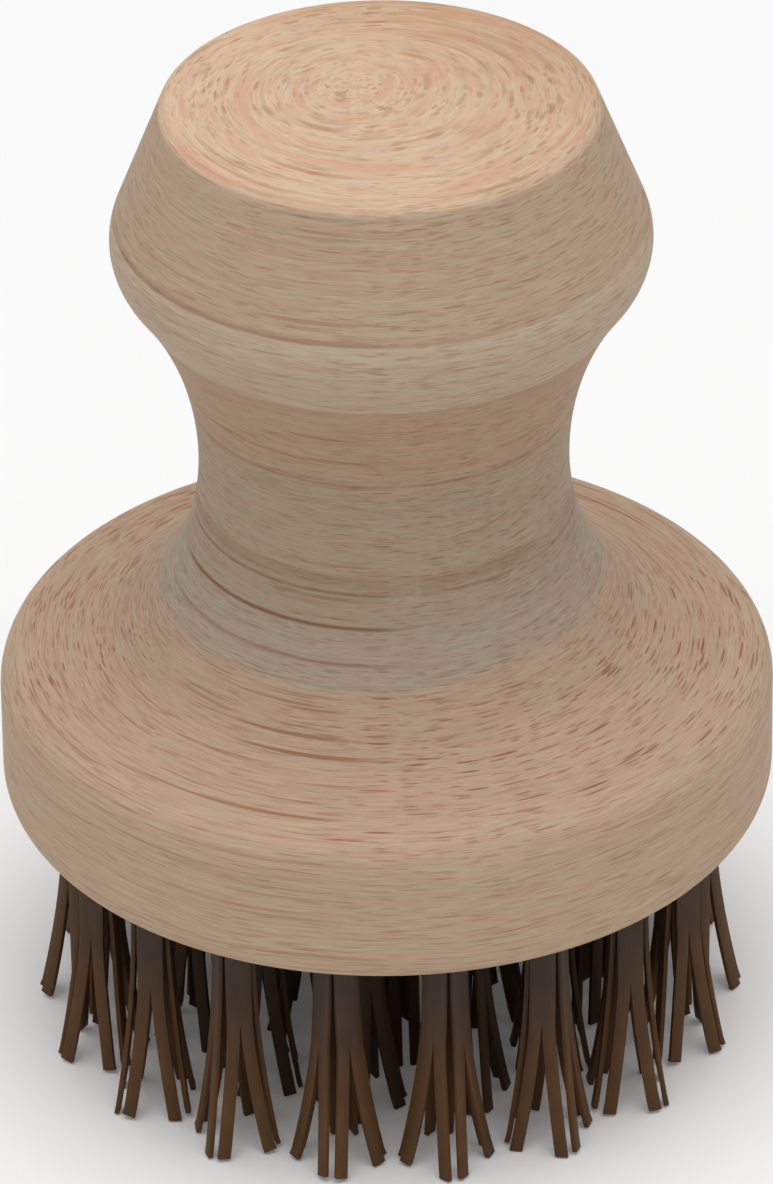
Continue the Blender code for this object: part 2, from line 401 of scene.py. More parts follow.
def long_grain(tree, lathe):
    """1 in the two sectors with long lines, 0 in the two with flecks."""
    along = sums(tree, "ABSOLUTE", facing(tree, lathe))
    ragged = sums(tree, "MULTIPLY_ADD", streaks(tree, lathe, *sector_grain),
                  2 * sector_raggedness, -sector_raggedness)
    return rise(tree, sums(tree, "ADD", along, ragged), *sector_edges)


def levelness(tree):
    """1 on faces that look straight up, 0 on upright ones."""
    normal = add_node(tree, "ShaderNodeNewGeometry").outputs["Normal"]
    _, _, up = add_node(tree, "ShaderNodeSeparateXYZ", Vector=normal).outputs
    return rise(tree, up, *level_edges)


print("half of a lined sector, degrees:", round(math.degrees(math.acos(sector_edges[0]))))

# %% [markdown]
# The colour bands come from the block itself: a level cut goes through paler and redder
# years, and each shows as a ring at one height. The two bands on the neck above its pale
# ring are also darker than the wood's own colour, as painted shade in the hollow neck.
# Their heights are measured from the floor. Each band has a tint that multiplies the wood's
# own colour, and the step from one to the next is nearly sharp. Only the pale ring at the
# foot of the neck ends raggedly, on the right. Thin red lines run between the bands. Most
# of them go all round in broken stretches, and two show on one side of the block only.

# %% Colours by height
def colours_by_height(tree, height, stops):
    """A ramp over the handle's height. Each stop is a height in metres and a colour."""
    low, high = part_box("handle")
    reach = (high.z - low.z) * MM
    share = sums(tree, "DIVIDE", sums(tree, "SUBTRACT", height, low.z * MM), reach)
    ramp = tree.nodes.new("ShaderNodeValToRGB")
    ramp.color_ramp.elements.remove(ramp.color_ramp.elements[1])
    ramp.color_ramp.elements[0].color = stops[0][1]
    for level, stop_colour in stops[1:]:
        ramp.color_ramp.elements.new((level - low.z) * MM / reach).color = stop_colour
    plug_in(tree, ramp.inputs["Fac"], share)
    return ramp.outputs["Color"]


print("helper for bands and lines:", colours_by_height.__name__)

# %% Bands of colour
# Each band: where it starts, how far its lower edge fades up and down, and its tint
wood_bands_and_cove_shade = (
    (0.0277, 0.00000, (0.94, 0.93, 0.90, 1)),     # the base's side
    (0.0440, 0.00080, (0.97, 0.93, 0.91, 1)),     # the base's top
    (0.0492, 0.00120, (0.89, 0.86, 0.85, 1)),     # mauve ring
    (0.0543, 0.00012, (0.77, 0.85, 0.91, 1)),     # pale ring where the neck begins
    # The neck's two tints, from here up to the brown ring, are partly painted shade in the
    # hollow neck
    (0.0600, 0.00120, (0.74, 0.79, 0.81, 1)),
    (0.0650, 0.00100, (0.78, 0.82, 0.83, 1)),     # the neck
    (0.0775, 0.00180, (0.85, 0.80, 0.75, 1)),     # brown ring under the knob
    (0.0896, 0.00012, (0.95, 1.01, 1.03, 1)),     # pale ring under the knob
    (0.0996, 0.00020, (0.88, 0.88, 0.85, 1)),     # the cone
    (0.1123, 0.00020, (1.22, 1.19, 1.15, 1)),     # the top face
)


def band_tint(tree, height):
    stops = [(wood_bands_and_cove_shade[0][0], wood_bands_and_cove_shade[0][2])]
    for (_, _, tint), (start, fade, next_tint) in zip(wood_bands_and_cove_shade, wood_bands_and_cove_shade[1:]):
        stops += [(start - fade, tint), (start + fade, next_tint)]
    return colours_by_height(tree, height, stops)


# On the right the pale ring's lower edge lies a millimetre higher and is ragged
ragged_side = (0.05, 0.60)       # shares of the way to the right, from straight to ragged
ragged_reach = (59, 56)          # mm above the floor, from straight to ragged
ragged_grain = (4, 0.16, 1.0, 83.0)
ragged_mm = 5.0                  # between the streaks' lowest and highest values
ragged_start = -1.3              # mm, at the lowest


def band_height(tree, lathe):
    right = vector_sums(tree, "DOT_PRODUCT", lathe["direction"], (1, 0, 0))
    share = sums(tree, "MULTIPLY", rise(tree, right, *ragged_side),
                 rise(tree, lathe["true height"], *ragged_reach))
    lift = sums(tree, "MULTIPLY_ADD", streaks(tree, lathe, *ragged_grain), ragged_mm,
                ragged_start)
    return sums(tree, "SUBTRACT", lathe["true height"], sums(tree, "MULTIPLY", share, lift))


print("bands of colour:", len(wood_bands_and_cove_shade))

# %% Thin red lines between bands
# Each line: its height, half its width, its strength all round and on one side
thin_lines = (
    (0.0568, 0.00018, 0.0, 0.5),
    (0.0604, 0.00022, 0.0, 1.0),
    (0.0641, 0.00024, 0.6, 0.6),
    (0.0654, 0.00100, 0.3, 0.3),
    (0.0777, 0.00024, 0.4, 0.4),
    (0.0812, 0.00024, 0.3, 0.3),
    (0.0996, 0.00032, 0.38, 0.58),
)
line_core = 0.4                  # share of a line's reach at its full strength
one_side = (0.68, 0.84)          # cosines of the angles where the one side ends
break_grain = (16, 6, 1.0, 71.0)
break_edges = (0.36, 0.60)       # the streaks' values between a break and a whole line
black = (0, 0, 0, 1)


def red_lines(tree, lathe):
    """The lines' strength. A ramp carries the one all round in red, on a side in green."""
    stops = [(0, black)]
    for height, reach, all_round, on_side in thin_lines:
        full, core = (all_round, on_side, 0, 1), reach * line_core
        before, after = max(stops[-1][0], height - reach), height + reach
        stops += [(before, black), (height - core, full),
                  (height + core, full), (after, black)]
    ramp = colours_by_height(tree, lathe["true height"], stops)
    all_round, on_side, _ = add_node(tree, "ShaderNodeSeparateColor", Color=ramp).outputs
    whole = rise(tree, streaks(tree, lathe, *break_grain), *break_edges)
    all_round = sums(tree, "MULTIPLY", all_round, whole)
    near_side = rise(tree, facing(tree, lathe), *one_side)
    return sums(tree, "MAXIMUM", all_round, sums(tree, "MULTIPLY", on_side, near_side))


print("red lines:", len(thin_lines))

# %% [markdown]
# The wood's colour is laid down as a painter would: a ground that drifts between a
# greenish and a rosy beige, fine fibres over it, then long thin lines, then flecks. The
# top face is cut across more of the block's years at once, so its grain is fainter and
# gets wider rosy arcs and brown smudges besides. Then come the red lines, the tint of the
# bands and, on the top face, two slow drifts of painted shade, warmer and darker towards
# the back and darker to the right. The flecks are pores, so they also sink a little in the
# bump and take the light a little duller. Raw wood hardly shines, so the specular level is
# close to nothing.

# %% The beech's colours
green_beige = colour(183, 165, 142)
rosy_beige = colour(186, 156, 133)
fibre_brown = colour(156, 116, 92)
line_brown = colour(146, 100, 74)
fleck_brown = colour(142, 92, 64)
red_brown = colour(134, 80, 52)
smudge_brown = colour(150, 120, 88)
rosy_arc = colour(186, 144, 122)
top_face_edges = (112.2, 113.0)  # mm above the floor, across the rounding of the rim

# Two slow drifts of painted shade over the top face: the way they grow, from how many mm
# off the axis to how many, and the tint at their end
top_painted_shade = (
    # painted shade, warmer and darker towards the back
    ((0.5, 0.87, 0), (0, 26), (0.90, 0.83, 0.78, 1)),     # warmer towards the back
    # painted shade, a little darker to the right
    ((1, 0, 0), (0, 24), (0.93, 0.94, 0.94, 1)),          # a little darker to the right
)


def grey_shade(tree, value):
    return add_node(tree, "ShaderNodeCombineColor", Red=value, Green=value,
                    Blue=value).outputs["Color"]


print("drifts on the top face:", len(top_painted_shade))

# %% [markdown]
# The grain has many parts of its own size. A streak is given by its length along the
# grain and its thickness across it in millimetres, by its amount of fine detail and by a
# seed that keeps it apart from the others. A dash has its size within its cell in place
# of the detail. Streaks turn into separate marks where their values pass two edges: below
# the first there is nothing, and above the second the mark is whole.

# %% Sizes of the grain
hue_grain, hue_edges = (8, 0.36, 3.0, 11.0), (0.32, 0.68)
fine_grain = (2.4, 0.13, 2.0, 23.0)
broad_grain = (10, 0.6, 3.0, 17.0)
fibre_grain, fibre_edges = (3.4, 0.18, 1.0, 29.0), (0.54, 0.72)
line_grain, line_edges = (24, 0.24, 1.0, 31.0), (0.58, 0.72)
long_dashes = (36, 0.70, 0.46, 37.0)
fleck_dashes = (4.4, 0.38, 0.44, 47.0)
small_dashes = (2.4, 0.28, 0.47, 53.0)
arc_grain, arc_edges = (16, 0.9, 2.0, 61.0), (0.50, 0.62)
smudge_grain, smudge_edges = (14, 0.9, 2.0, 59.0), (0.56, 0.70)

# Strengths, each as what it changes by and what it starts from
fine_shade = (0.42, 0.82)
broad_shade = (0.26, 0.88)
fibre_by_level = (0.06, 0.54)    # from upright faces to level ones
line_by_level = (0.38, 0.40)
fleck_by_level = (0.48, 0.40)
line_by_sector = (0.90, 0.10)    # from the flecked sectors to the lined ones
grain_on_top = (-0.25, 1.0)      # from the sides to the top face
dull_by_fine = (0.20, 0.46)

# Single strengths
soft_line = 0.80                 # of a streaky line beside a dash
small_fleck = 0.80               # of a small fleck beside a long one
arc_strength = 0.6
smudge_strength = 0.6
red_strength = 0.9
pore_dullness = 0.12
pore_depth = 0.6                 # of the bump's own height
relief_strength = 0.25
relief_height = 0.00008
raw_wood_shine = 0.05            # specular level
print("fine grain, mm:", fine_grain[0], "by", fine_grain[1])

# %% The beech, from its ground to its marks
def times(tree, *values):
    """All values multiplied."""
    product = values[0]
    for value in values[1:]:
        product = sums(tree, "MULTIPLY", product, value)
    return product


def scaled(tree, value, change, start):
    return sums(tree, "MULTIPLY_ADD", value, change, start)


def beech_ground(tree, lathe, fine):
    hue = rise(tree, streaks(tree, lathe, *hue_grain), *hue_edges)
    broad = streaks(tree, lathe, *broad_grain)
    shade = times(tree, scaled(tree, fine, *fine_shade), scaled(tree, broad, *broad_shade))
    ground = mix(tree, hue, green_beige, rosy_beige)
    return mix(tree, 1.0, ground, grey_shade(tree, shade), "MULTIPLY")


def grain_lines(tree, lathe):
    lines = rise(tree, streaks(tree, lathe, *line_grain), *line_edges)
    lines = times(tree, lines, soft_line)
    return sums(tree, "MAXIMUM", lines, dashes(tree, lathe, *long_dashes))


def flecks(tree, lathe):
    small = times(tree, dashes(tree, lathe, *small_dashes), small_fleck)
    return sums(tree, "MAXIMUM", dashes(tree, lathe, *fleck_dashes), small)


print("a fleck is thick, mm:", fleck_dashes[1])

# %% The beech itself
def make_beech():
    material, tree, shader = new_material("turned beech")
    lathe = lathe_coordinates(tree)
    lined = long_grain(tree, lathe)
    flecked = sums(tree, "SUBTRACT", 1.0, lined)
    level = levelness(tree)
    on_top = rise(tree, lathe["true height"], *top_face_edges)
    off_top = scaled(tree, on_top, *grain_on_top)
    fine = streaks(tree, lathe, *fine_grain)
    toned = beech_ground(tree, lathe, fine)

    fibres = rise(tree, streaks(tree, lathe, *fibre_grain), *fibre_edges)
    share = times(tree, scaled(tree, level, *fibre_by_level), off_top)
    toned = mix(tree, times(tree, fibres, share), toned, fibre_brown)

    share = times(tree, scaled(tree, level, *line_by_level), off_top,
                  scaled(tree, lined, *line_by_sector))
    toned = mix(tree, times(tree, grain_lines(tree, lathe), share), toned, line_brown)

    share = times(tree, scaled(tree, level, *fleck_by_level), off_top, off_top)
    marks = times(tree, flecks(tree, lathe), flecked, share)
    toned = mix(tree, marks, toned, fleck_brown)

    arcs = rise(tree, streaks(tree, lathe, *arc_grain), *arc_edges)
    toned = mix(tree, times(tree, arcs, on_top, arc_strength), toned, rosy_arc)
    smudges = rise(tree, streaks(tree, lathe, *smudge_grain), *smudge_edges)
    toned = mix(tree, times(tree, smudges, on_top, smudge_strength), toned, smudge_brown)
    toned = mix(tree, times(tree, red_lines(tree, lathe), red_strength), toned, red_brown)

    toned = mix(tree, 1.0, toned, band_tint(tree, band_height(tree, lathe)), "MULTIPLY")
    # Painted shade over the top face, towards the back and to the right
    for heading, reach, tint in top_painted_shade:
        off_axis = vector_sums(tree, "DOT_PRODUCT", lathe["place"], heading)
        drift = rise(tree, off_axis, *reach)
        toned = mix(tree, times(tree, drift, on_top), toned, tint, "MULTIPLY")
    plug_in(tree, shader.inputs["Base Color"], toned)

    dull = scaled(tree, fine, *dull_by_fine)
    plug_in(tree, shader.inputs["Roughness"], scaled(tree, marks, pore_dullness, dull))
    shader.inputs["Specular IOR Level"].default_value = raw_wood_shine
    relief = sums(tree, "SUBTRACT", fine, times(tree, marks, pore_depth))
    bump = add_node(tree, "ShaderNodeBump", Strength=relief_strength,
                    Distance=relief_height, Height=relief)
    plug_in(tree, shader.inputs["Normal"], bump.outputs["Normal"])
    return material


beech = make_beech()
print("nodes in the beech:", len(beech.node_tree.nodes))

# %% [markdown]
# ## The turned handle
# On the real brush this is one block, turned in a lathe and then bored from below. The
# packed handle has the right outline in 64 flat sides. The same outline is drawn here
# again, with many more steps in each round stretch, and a Screw modifier turns it. The
# overall sizes are read from the frame. The others are the turner's own measures.

# %% The turner's measures
handle_low, handle_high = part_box("handle")
underside = handle_low.z
handle_top = handle_high.z
flange_diameter = handle_high.x - handle_low.x
flange_thickness = 0.0192
flange_foot_radius = 0.0044
flange_shoulder_radius = 0.0052
cove_rise = 0.0230
neck_diameter = 0.0403
knob_rise = 0.0270
knob_diameter = 0.0584
knob_round_radius = 0.0072
crown_diameter = 0.0474
crown_edge_radius = 0.0012

flange_top = underside + flange_thickness
waist = flange_top + cove_rise
knob_middle = waist + knob_rise
print("crown above the knob, mm:", round(MM * (handle_top - knob_middle), 1))

# %% Arcs and straight lines
def arc(centre, radii, start, end, steps):
    points = []
    for step in range(steps + 1):
        angle = start + (end - start) * step / steps
        points.append((centre[0] + radii[0] * math.cos(angle),
                       centre[1] + radii[1] * math.sin(angle)))
    return points


def straight(start, end, steps):
    """The points between two ends, without the ends."""
    return [(start[0] + (end[0] - start[0]) * step / steps,
             start[1] + (end[1] - start[1]) * step / steps) for step in range(1, steps)]


print("points between two ends, in 4 steps:", len(straight((0, 0), (1, 0), 4)))

# %% The outline, from the top down
arc_steps = {"rim": 8, "bulge": 20, "hollow": 18, "cove": 28, "shoulder": 12, "foot": 12}
line_steps = {"top": 6, "cone": 8, "side": 4, "underside": 10}


def handle_outline():
    rim_centre = (crown_diameter / 2 - crown_edge_radius, handle_top - crown_edge_radius)
    bulge_centre = (knob_diameter / 2 - knob_round_radius, knob_middle)

    # The cone between the rim and the bulge touches both of their circles
    run = rim_centre[0] - bulge_centre[0]
    climb = rim_centre[1] - bulge_centre[1]
    turn = math.acos((knob_round_radius - crown_edge_radius) / math.hypot(run, climb))
    cone = math.atan2(climb, run) - turn

    # The hollow is the circle that touches the waist and the bulge
    offset = neck_diameter / 2 - bulge_centre[0]
    hollow_radius = offset ** 2 + knob_rise ** 2 - knob_round_radius ** 2
    hollow_radius /= 2 * (knob_round_radius - offset)
    hollow_centre = (neck_diameter / 2 + hollow_radius, waist)
    hollow = math.atan2(knob_rise, hollow_centre[0] - bulge_centre[0])

    shoulder_centre = (flange_diameter / 2 - flange_shoulder_radius,
                       flange_top - flange_shoulder_radius)
    foot_centre = (flange_diameter / 2 - flange_foot_radius, underside + flange_foot_radius)
    cove_centre = (shoulder_centre[0], waist)
    cove_radii = (shoulder_centre[0] - neck_diameter / 2, cove_rise)

    quarter = math.pi / 2
    rim = arc(rim_centre, [crown_edge_radius] * 2, quarter, cone, arc_steps["rim"])
    bulge = arc(bulge_centre, [knob_round_radius] * 2, cone, -hollow, arc_steps["bulge"])
    dip = arc(hollow_centre, [hollow_radius] * 2, math.pi - hollow, math.pi,
              arc_steps["hollow"])
    cove = arc(cove_centre, cove_radii, math.pi, math.pi * 3 / 2, arc_steps["cove"])
    shoulder = arc(shoulder_centre, [flange_shoulder_radius] * 2, quarter, 0,
                   arc_steps["shoulder"])
    foot = arc(foot_centre, [flange_foot_radius] * 2, 0, -quarter, arc_steps["foot"])

    top_middle, bottom_middle = (0, handle_top), (0, underside)
    top = [top_middle] + straight(top_middle, rim[0], line_steps["top"])
    flank = straight(rim[-1], bulge[0], line_steps["cone"])
    side = straight(shoulder[-1], foot[0], line_steps["side"])
    bottom = straight(foot[-1], bottom_middle, line_steps["underside"]) + [bottom_middle]
    return (top + rim + flank + bulge + dip[1:] + cove[1:]
            + shoulder[1:] + side + foot + bottom)


outline = handle_outline()
print("points in the outline:", len(outline))

# %% Turn an outline round the axis
handle_steps = 192


def add_piece(name, mesh):
    piece = bpy.data.objects.new(name, mesh)
    bpy.context.scene.collection.objects.link(piece)
    return piece


def turned(name, outline, steps):
    mesh = bpy.data.meshes.new(name)
    points = [(x, 0, z) for x, z in outline]
    mesh.from_pydata(points, [(n, n + 1) for n in range(len(points) - 1)], [])
    piece = add_piece(name, mesh)
    screw = piece.modifiers.new("turn", "SCREW")
    screw.steps = steps
    screw.render_steps = steps
    screw.use_merge_vertices = True
    screw.merge_threshold = 0.000001
    return piece


def freeze(piece):
    """Replaces a piece's mesh with what its modifiers make of it."""
    seen = piece.evaluated_get(bpy.context.evaluated_depsgraph_get())
    mesh = bpy.data.meshes.new_from_object(seen)
    piece.modifiers.clear()
    piece.data = mesh
    return piece


print("degrees in a step of the handle's turn:", 360 / handle_steps)

# %% [markdown]
# The holes are bored where the tufts stand. A tuft's box in the frame gives the middle of
# its hole, and the way from the brush's axis to that middle is the way that one corner of
# the tuft points. One drill, with a slightly flared mouth as a sharp bit leaves it, is
# copied to every place, and all copies are cut in one go. Each anchor wire bites into the
# wood on both sides of its hole, so it gets a slot there.

# %% Places of the tufts
fit_gap = 0.0003                 # m of play between a tuft and its hole


def corner_out(x, y):
    """A matrix to a tuft's place, with +X pointing away from the brush's axis."""
    middle = Vector((x, y, 0))

    # The centre tuft stands on the axis, and points to the front
    away = middle if middle.length > fit_gap else Vector((0, -1, 0))
    turn = Matrix.Rotation(math.atan2(away.y, away.x), 4, "Z")
    return Matrix.Translation(middle) @ turn


tuft_places = {}
for name in sorted(frame["nodes"]):
    if name.startswith("tuft_"):
        low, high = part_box(name)
        middle = (low + high) / 2
        tuft_places[name] = corner_out(middle.x, middle.y)
print("tufts:", len(tuft_places))

# %% Measures of the holes
strip_width = 0.00142
strip_thickness = 0.00055
corner_gap = 0.00010             # between two strips at a corner of their square
tuft_half_width = strip_width + corner_gap + strip_thickness
hole_depth = 0.0120
hole_radius = math.hypot(strip_width, tuft_half_width) + fit_gap
hole_sides = 12                  # of a packed hole, from whose corners the bite counts
mouth_flare = 0.0002
anchor_height = 0.0016
anchor_thickness = 0.0004
anchor_bite = 0.0007
fold_height = 0.0021
anchor_length = 2 * (hole_radius / math.cos(math.pi / hole_sides) + anchor_bite)
anchor_middle = underside + hole_depth - 2 * fit_gap - fold_height - anchor_height / 2
print("a hole is wide, mm:", round(2 * MM * hole_radius, 2))

# %% Cutters
wire_size = (anchor_length, anchor_thickness, anchor_height)
slot_size = [length + 2 * fit_gap for length in wire_size]


def anchor_slot(place):
    """A box round the anchor of one tuft, as a matrix for a cube of 1 m."""
    up = Matrix.Translation((0, 0, anchor_middle))
    turn = Matrix.Rotation(math.radians(45), 4, "Z")
    return place @ up @ turn @ Matrix.Diagonal((*slot_size, 1))


def copies(name, mesh, places):
    """One object that holds a copy of the mesh at every place."""
    bm = bmesh.new()
    for place in places:
        before = len(bm.verts)
        bm.from_mesh(mesh)
        bm.verts.ensure_lookup_table()
        bmesh.ops.transform(bm, matrix=place, verts=bm.verts[before:])
    made = bpy.data.meshes.new(name)
    bm.to_mesh(made)
    bm.free()
    return add_piece(name, made)


def cube_mesh(name):
    mesh = bpy.data.meshes.new(name)
    bm = bmesh.new()
    bmesh.ops.create_cube(bm, size=1)
    bm.to_mesh(mesh)
    bm.free()
    return mesh


def cut_away(piece, cutter):
    cut = piece.modifiers.new(cutter.name, "BOOLEAN")
    cut.operation = "DIFFERENCE"
    cut.object = cutter
    cutter.hide_render = True


print("a slot, mm:", [round(MM * length, 2) for length in slot_size])

# %% Bore the handle
drill_steps = 32
sharp_in_wood = math.radians(35)     # edges sharper than this aren't shaded smooth
mouth_radius = hole_radius + mouth_flare
drill = freeze(turned("drill", [
    (0, underside + hole_depth), (hole_radius, underside + hole_depth),
    (hole_radius, underside + mouth_flare), (mouth_radius, underside),
    (mouth_radius, underside - fit_gap), (0, underside - fit_gap)], drill_steps))
bores = copies("bores", drill.data, tuft_places.values())
outer_places = [place for name, place in tuft_places.items() if "outer" in name]
slots = copies("slots", cube_mesh("slot"), [anchor_slot(place) for place in outer_places])

handle = turned("turned_handle", outline, handle_steps)
cut_away(handle, bores)
cut_away(handle, slots)
freeze(handle)
for cutter in (drill, bores, slots):
    bpy.data.objects.remove(cutter)
handle.data.materials.clear()
handle.data.materials.append(beech)
handle.data.shade_smooth()
handle.data.set_sharp_from_angle(angle=sharp_in_wood)
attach(handle, BODY)
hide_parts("handle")
print("faces of the handle:", len(handle.data.polygons))

# %% [markdown]
# ## Fibre
# The strips are stiff, flat and dark: near the wood a greyish brown, towards the tips a
# warmer one. Their faces have faint lines along their length. The narrow sides, where the
# strip was slit from its sheet, are a lighter golden brown, partly as a painted reflection
# of warm surroundings. So a tuft has two materials, one for the faces and one for the slit
# sides. Behind the outer ring the strips look nearly black, darker than the studio's light
# alone leaves them, so painted shade darkens their colour there as well.

# %% Two finishes for a strip
fibre_drawing = 0.04             # changes along a strip beside those across it
fibre_lines = 5.0                # in a mm across
fibre_clouds = 0.22              # in a mm
line_shade = (0.60, 0.45)        # what it changes by and what it starts from
cloud_shade = 0.50
warm_from = 0.25                 # of the free length above the tips, warm from there down
# Painted shade behind the outer ring: the fibre's colour darkens from there in towards the
# axis
outer_ring_starts = 31           # mm from the brush's axis
inner_rings_start = 23           # mm from the axis, where the fibre is darkest
inner_painted_shade = 0.55            # share of its tone that the fibre has lost there
line_dullness = 0.25
fibre_shine = 0.22               # specular level
fibre_relief_strength = 0.3
fibre_relief_height = 0.00005


def make_fibre(name, near_wood, near_tip, roughness):
    material, tree, shader = new_material(name)
    place = add_node(tree, "ShaderNodeTexCoord").outputs["Object"]
    place = vector_sums(tree, "SCALE", place, scale=MM)
    x, y, height = add_node(tree, "ShaderNodeSeparateXYZ", Vector=place).outputs
    _, radius = level_distance(tree, place)
    drawn = add_node(tree, "ShaderNodeCombineXYZ", X=x, Y=y,
                     Z=times(tree, height, fibre_drawing)).outputs["Vector"]
    lines = add_node(tree, "ShaderNodeTexNoise", Vector=drawn, Scale=fibre_lines,
                     Detail=4.0).outputs["Fac"]
    cloud = add_node(tree, "ShaderNodeTexNoise", Vector=place, Scale=fibre_clouds,
                     Detail=2.0).outputs["Fac"]
    drop = rise(tree, height, underside * MM, underside * MM * warm_from)
    # Painted shade, from the outer ring in to the inner rings
    inside = rise(tree, radius, outer_ring_starts, inner_rings_start)
    shade = scaled(tree, cloud, cloud_shade, scaled(tree, lines, *line_shade))
    shade = times(tree, shade, scaled(tree, inside, -inner_painted_shade, 1.0))
    tone = mix(tree, drop, near_wood, near_tip)
    tone = mix(tree, 1.0, tone, grey_shade(tree, shade), "MULTIPLY")
    plug_in(tree, shader.inputs["Base Color"], tone)
    plug_in(tree, shader.inputs["Roughness"], scaled(tree, lines, line_dullness, roughness))
    shader.inputs["Specular IOR Level"].default_value = fibre_shine
    bump = add_node(tree, "ShaderNodeBump", Strength=fibre_relief_strength,
                    Distance=fibre_relief_height, Height=lines)
    plug_in(tree, shader.inputs["Normal"], bump.outputs["Normal"])
    return material


fibre_face = make_fibre("fibre face", colour(63, 51, 43), colour(82, 55, 29), 0.46)
# The slit sides' warmer golden tone is partly a painted reflection of warm surroundings
fibre_side_and_reflection = make_fibre("slit side of the fibre with painted reflection", colour(64, 49, 35), colour(88, 57, 27),
                        0.50)
print("fibre finishes:", fibre_face.name, "and", fibre_side_and_reflection.name)

# %% [markdown]
# ## Tufts
# A tuft has four flat strips round its hole, set as a square with one corner pointing
# away from the brush's axis. Each strip forks a little less than half way down, and its
# two prongs spread. A strip is drawn as a sheet one face thick, which a Solidify modifier
# makes as thick as the fibre and a Bevel modifier rounds along its edges. No two prongs
# are alike on a real brush, so each leans, turns and ends a little differently. The
# differences come from a random generator with a fixed seed, so every run gives the same
# brush.

# %% The strip's measures
fork_share = 0.0116 / underside  # a strip forks this far down
lean_out = 0.0022                # a tip leans this far from its tuft
spread = 0.0019                  # and a prong this far from the fork
crowned_face = 0.00004           # the faces are slightly crowned
tip_lift = 0.00005               # keeps the lower edge of a leaning tip off the floor
root_top = underside + hole_depth - fit_gap
rows_in_hole = 3
rows_to_fork = 7
rows_of_prong = 12


def strip_rows():
    """Shares of the free length, from the root's top, which is negative, to the tip."""
    root_share = -(root_top - underside) / underside
    rows = [root_share * (1 - row / rows_in_hole) for row in range(rows_in_hole)]
    rows += [fork_share * row / rows_to_fork for row in range(rows_to_fork)]
    rows += [fork_share + (1 - fork_share) * row / rows_of_prong
             for row in range(rows_of_prong + 1)]
    return rows


print("rows in a strip:", len(strip_rows()))

# %% One forked strip
# The ends between which each prong's own differences are drawn, in this order
prong_ends = {
    "spread": (0.93, 1.05),      # times the common spread
    "lean": (0.95, 1.03),        # times the common lean
    "twist": (-8, 8),            # degrees at the tip
    "short": (0, 0.0003),        # m that is cut off the tip
    "slant": (0.02, 0.34),       # slope of the tip's cut
}
spread_curve = 1.35              # a prong spreads faster towards its tip
lean_curve = 2


def draw_prong(draw):
    """How one prong differs from the next."""
    return {name: draw.uniform(*ends) for name, ends in prong_ends.items()}


def strip_point(side, column, share, prong):
    """A point of the sheet. Column runs from -1 to 1 across the prong."""
    past_fork = max(0.0, (share - fork_share) / (1 - fork_share))
    lean = max(0.0, share) ** lean_curve
    across = column * strip_width / 2
    middle = side * (strip_width / 2 + spread * prong["spread"] * past_fork ** spread_curve)
    twist = math.radians(prong["twist"]) * past_fork
    along = middle + across * math.cos(twist)
    strip_crown = 1 - ((side + column) / 2) ** 2
    prong_crown = 1 - column ** 2
    crown = strip_crown * (1 - past_fork) + prong_crown * past_fork
    lean_here = lean_out * lean * (1 + (prong["lean"] - 1) * past_fork)
    outwards = tuft_half_width - strip_thickness / 2 + lean_here
    outwards += crowned_face * (crown - 1) + across * math.sin(twist)
    height = underside * (1 - share)
    cut = max(0.0, past_fork - 1 + 1 / rows_of_prong) * rows_of_prong
    slope = prong["slant"] * (strip_width / 2 + side * across)
    height += cut * (tip_lift + prong["short"] + slope)
    return (outwards, along, height)


def add_strip(bm, turn, draw):
    """A forked sheet whose face looks along its turn."""
    prongs = {side: draw_prong(draw) for side in (-1, 1)}
    quarter = Matrix.Rotation(turn, 4, "Z")
    last = None
    for share in strip_rows():
        row = {}
        for side in (-1, 1):
            for column in (-1, 0, 1):
                place = quarter @ Vector(strip_point(side, column, share, prongs[side]))
                row[side, column] = bm.verts.new(place)

        # Down to the fork the two halves share the points in the middle
        if share <= fork_share:
            bm.verts.remove(row[1, -1])
            row[1, -1] = row[-1, 1]
        if last is not None:
            for side in (-1, 1):
                for column in (-1, 0):
                    bm.faces.new((last[side, column], last[side, column + 1],
                                  row[side, column + 1], row[side, column]))
        last = row


random_tip = strip_point(1, 0, 1.0, draw_prong(random.Random(0)))
tip_distance = math.hypot(random_tip[0], random_tip[1])
print("a tip's distance from its tuft's axis, mm:", round(MM * tip_distance, 1))

# %% One tuft
edge_rounding = 0.00007
fold_rounding = 3 * edge_rounding
loose_fit = 0.00005              # m between the fold and the strips round it
sharp_in_fibre = math.radians(50)
quarter_turns = [math.radians(45 + 90 * side) for side in range(4)]


def strips_mesh(name, draw):
    bm = bmesh.new()
    for turn in quarter_turns:
        add_strip(bm, turn, draw)
    mesh = bpy.data.meshes.new(name)
    bm.to_mesh(mesh)
    bm.free()
    return mesh


def fold_mesh():
    """The folded fibre above the anchor, between the four strips."""
    side = 2 * (tuft_half_width - strip_thickness - loose_fit)
    middle = Matrix.Translation((0, 0, root_top - fold_height / 2))
    turn = Matrix.Rotation(quarter_turns[0], 4, "Z")
    size = Matrix.Diagonal((side, side, fold_height, 1))
    mesh = bpy.data.meshes.new("fold")
    bm = bmesh.new()
    bmesh.ops.create_cube(bm, size=1, matrix=middle @ turn @ size)
    bmesh.ops.bevel(bm, geom=bm.edges[:], offset=fold_rounding, segments=3, affect="EDGES")
    bm.to_mesh(mesh)
    bm.free()
    return mesh


